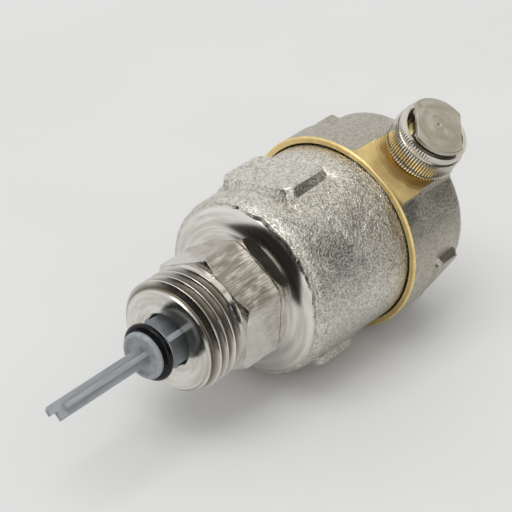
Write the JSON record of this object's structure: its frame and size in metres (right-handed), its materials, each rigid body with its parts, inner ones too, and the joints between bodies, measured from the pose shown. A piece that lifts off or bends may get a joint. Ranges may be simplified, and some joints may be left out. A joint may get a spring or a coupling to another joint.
{
  "type": "automatic air release valve",
  "caption": "Nickel-plated brass float air vent with a knurled side outlet cap, on a hexagonal male-threaded check fitting with a spring plunger.",
  "frame": {"origin": "centre of the check fitting's mouth, where the pipe thread begins", "axes": "+Z along the valve's main axis from the pipe thread to the cover, +X out of the side outlet, +Y completing a right-handed frame"},
  "size_m": [0.0455, 0.0376, 0.0907],
  "materials": {
    "nickel_cast": "sand-cast brass, nickel plated",
    "nickel_bright": "turned brass, nickel plated",
    "brass": "bare turned brass",
    "stainless": "stainless wire and sheet",
    "grey_plastic": "moulded acetal, blue-grey",
    "white_plastic": "moulded polypropylene, natural",
    "black_rubber": "black rubber, oiled"
  },
  "bodies": {
    "fitting": {"check_fitting": "nickel_bright", "check_spring": "stainless"},
    "plunger": {"plunger_stem": "grey_plastic", "plunger_o_ring": "black_rubber", "plunger_head": "grey_plastic"},
    "spigot_seal": {"spigot_o_ring": "black_rubber"},
    "vent": {"cast_body": "nickel_cast", "cover_o_ring": "black_rubber", "cover": "nickel_cast", "vent_nozzle": "brass", "nozzle_o_ring": "black_rubber", "nozzle_nut": "brass", "lever_bracket": "stainless", "lever_pin": "stainless"},
    "lever": {"bell_crank": "brass", "obturator_pad": "black_rubber"},
    "float": {"float_cup": "white_plastic", "float_lid": "white_plastic", "link_pin": "stainless"},
    "cap_washer": {"cap_seal": "black_rubber"},
    "cap": {"cap_sleeve": "nickel_bright", "cap_plug": "nickel_bright"}
  },
  "joints": [
    {"name": "vent_rise", "type": "slide", "parent": "fitting", "child": "spigot_seal", "axis": [0, 0, 1], "range_m": [0, 0.0037]},
    {"name": "vent_turn", "type": "hinge", "parent": "spigot_seal", "child": "vent", "pos_m": [0, 0, 0.0178], "axis": [0, 0, 1], "range_deg": [0, 996.3]},
    {"name": "plunger_slide", "type": "slide", "parent": "fitting", "child": "plunger", "axis": [0, 0, 1], "range_m": [0, 0.0037], "deforming": ["check_spring"]},
    {"name": "float_slide", "type": "slide", "parent": "vent", "child": "float", "axis": [0, 0, 1], "range_m": [0, 0.0026]},
    {"name": "lever_turn", "type": "hinge", "parent": "vent", "child": "lever", "pos_m": [0.0105, 0, 0.051], "axis": [0, 1, 0], "range_deg": [0, 14.19]},
    {"name": "cap_rise", "type": "slide", "parent": "vent", "child": "cap_washer", "axis": [1, 0, 0], "range_m": [0, 0.0015]},
    {"name": "cap_turn", "type": "hinge", "parent": "cap_washer", "child": "cap", "pos_m": [0.02, 0, 0.05625], "axis": [1, 0, 0], "range_deg": [0, 540]}
  ],
  "couplings": [
    {"joint": "vent_turn", "follows": "vent_rise", "rad_per_m": 4699.5},
    {"joint": "plunger_slide", "follows": "vent_rise", "ratio": 1},
    {"joint": "lever_turn", "follows": "float_slide", "rad_per_m": 95.238},
    {"joint": "cap_turn", "follows": "cap_rise", "rad_per_m": 6283.2}
  ]
}
